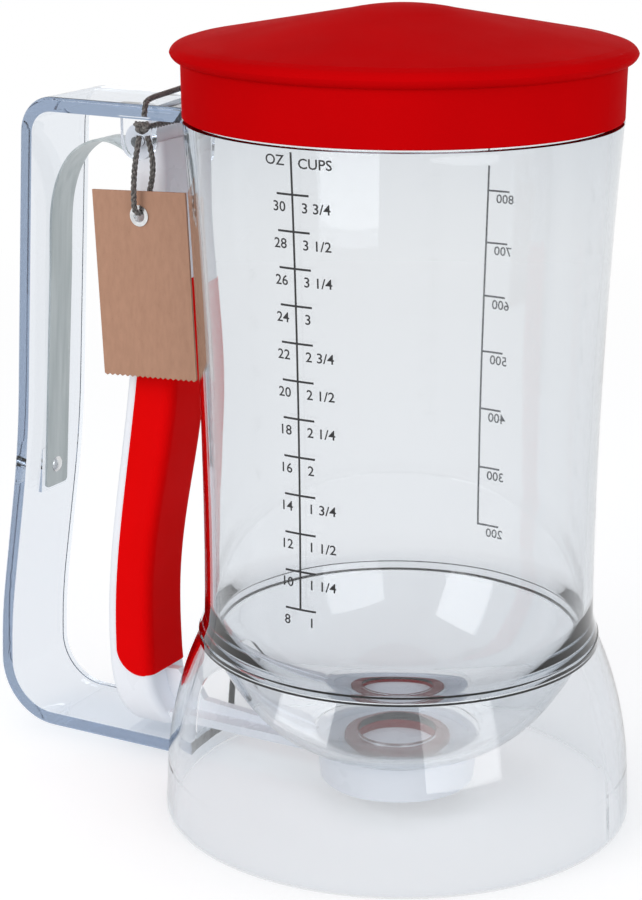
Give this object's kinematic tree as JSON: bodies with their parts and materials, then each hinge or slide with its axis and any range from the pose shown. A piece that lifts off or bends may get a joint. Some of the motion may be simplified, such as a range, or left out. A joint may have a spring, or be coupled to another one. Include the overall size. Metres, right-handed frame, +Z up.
{
  "type": "batter dispenser",
  "caption": "Clear pour-over jug with a funnel outlet, a squeeze lever that swings a valve cup off it, a strap handle and a press-on lid.",
  "frame": {"origin": "on the jug's axis in the plane of the base rim", "axes": "+Z up along the jug's axis, handle towards -X, +Y across the handle"},
  "size_m": [0.1708, 0.1158, 0.1973],
  "materials": {
    "clear": "clear polished moulding, faint blue-grey tint",
    "red_lid": "satin red",
    "red_soft": "soft matt red",
    "white": "satin white",
    "silicone": "smooth silicone",
    "steel": "brushed",
    "cord": "twisted cord",
    "card": "plain kraft card"
  },
  "bodies": {
    "jug": {"container": "clear", "base_skirt": "clear", "handle_frame": "clear", "pivot_pin": "steel", "spring_strip": "steel", "spring_rivet": "steel", "tag_hitch": "cord"},
    "lid": {"lid": "red_lid"},
    "trigger": {"trigger_lever": "white", "trigger_grip": "red_soft", "valve_cup": "white", "valve_gasket": "silicone"},
    "tag": {"tag_knot": "cord", "tag_strands": "cord", "tag_eyelet": "steel", "tag_card": "card"}
  },
  "joints": [
    {"name": "lid_lift", "type": "slide", "parent": "jug", "child": "lid", "axis": [0, 0, 1], "range_m": [0, 0.06]},
    {"name": "trigger_squeeze", "type": "hinge", "parent": "jug", "child": "trigger", "pos_m": [-0.0685, 0, 0.1612], "axis": [0, 1, 0], "range_deg": [0, 4.3], "stiffness_Nm_per_rad": 1.6, "springref_deg": -11.46, "deforming": ["spring_strip"]},
    {"name": "tag_swing", "type": "hinge", "parent": "jug", "child": "tag", "pos_m": [-0.062, -0.0156, 0.1662], "axis": [-1, 0, 0], "range_deg": [0, 60]}
  ]
}
